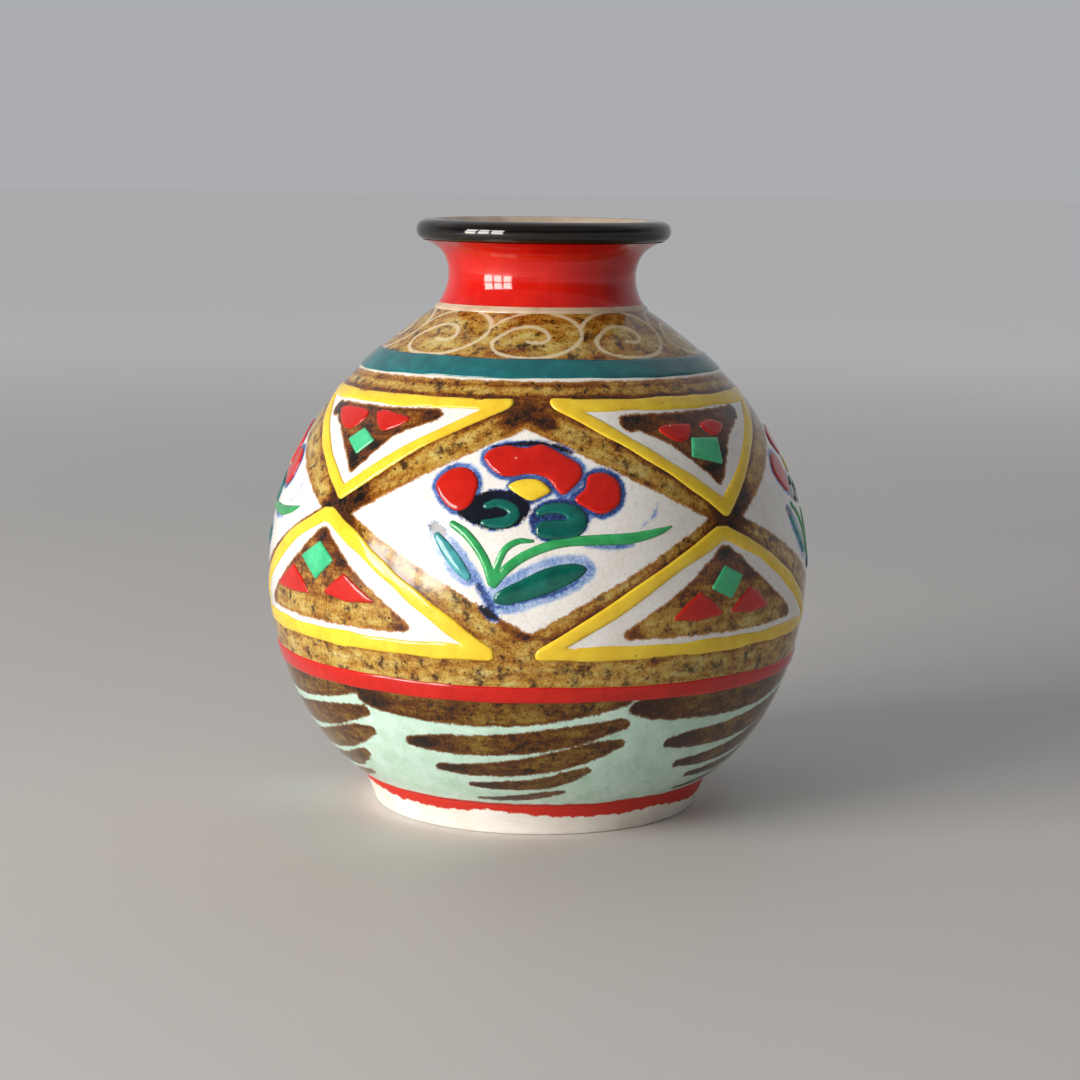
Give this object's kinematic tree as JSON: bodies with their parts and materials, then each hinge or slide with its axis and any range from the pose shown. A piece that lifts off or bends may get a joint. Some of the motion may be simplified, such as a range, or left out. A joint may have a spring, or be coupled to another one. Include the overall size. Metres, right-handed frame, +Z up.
{
  "type": "pottery vase",
  "caption": "Ball-bodied glazed pottery vase with a waisted collar, a rolled lip and a turned foot ring, hollow and open at the mouth.",
  "frame": {"origin": "centre of the foot ring's underside, on the surface that the vase stands on", "axes": "+Z up along the axis of revolution, towards the mouth; -Y is the front, where one painted flower faces"},
  "size_m": [0.1376, 0.1376, 0.1488],
  "materials": {
    "biscuit": "bare fired white clay, matt",
    "body_glaze": "gloss white glaze over ochre, umber, cobalt and mint brushwork, finely crazed",
    "red_glaze": "gloss signal red",
    "yellow_enamel": "raised gloss yellow enamel",
    "red_enamel": "raised gloss red enamel",
    "green_enamel": "raised gloss green enamel",
    "teal_enamel": "raised gloss teal enamel",
    "rim_glaze": "gloss black-brown"
  },
  "bodies": {
    "root": {"foot_ring": "biscuit", "belly_bowl": "body_glaze", "shoulder_dome": "body_glaze", "neck_collar": "red_glaze", "rim_roll": "rim_glaze"}
  },
  "joints": []
}
